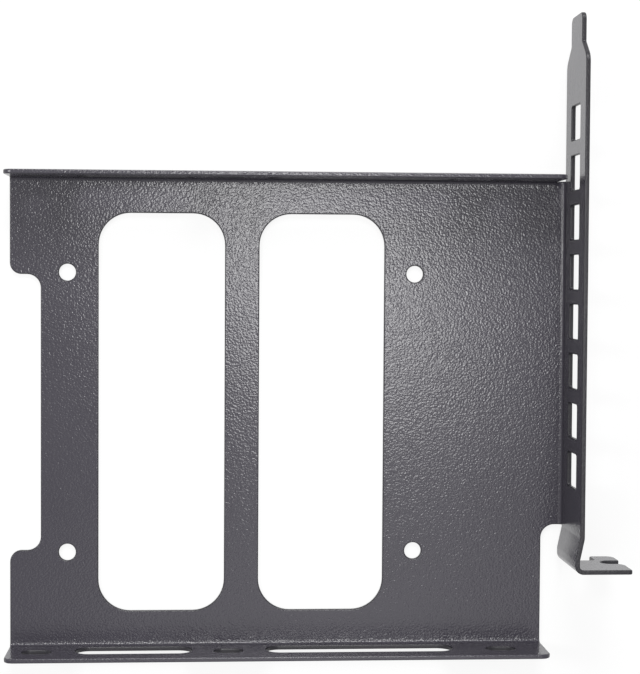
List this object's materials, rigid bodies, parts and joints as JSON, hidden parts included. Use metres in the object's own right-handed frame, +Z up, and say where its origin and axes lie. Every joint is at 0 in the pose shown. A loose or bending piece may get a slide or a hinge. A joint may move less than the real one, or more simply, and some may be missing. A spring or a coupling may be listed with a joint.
{
  "type": "slot drive bracket",
  "caption": "Folded sheet-steel bracket that holds a small or large drive beside an expansion slot: a windowed plate with flanges and a vented slot strip with tab and foot.",
  "frame": {"origin": "middle of the four small-drive holes, on the underside of the plate", "axes": "+X towards the slot strip, +Y along the strip towards its tab, +Z up from the plate; it lies on the plate's underside"},
  "size_m": [0.134, 0.1395, 0.0198],
  "materials": {
    "coated_steel": "satin"
  },
  "bodies": {
    "root": {"drive_bracket": "coated_steel"}
  },
  "joints": []
}
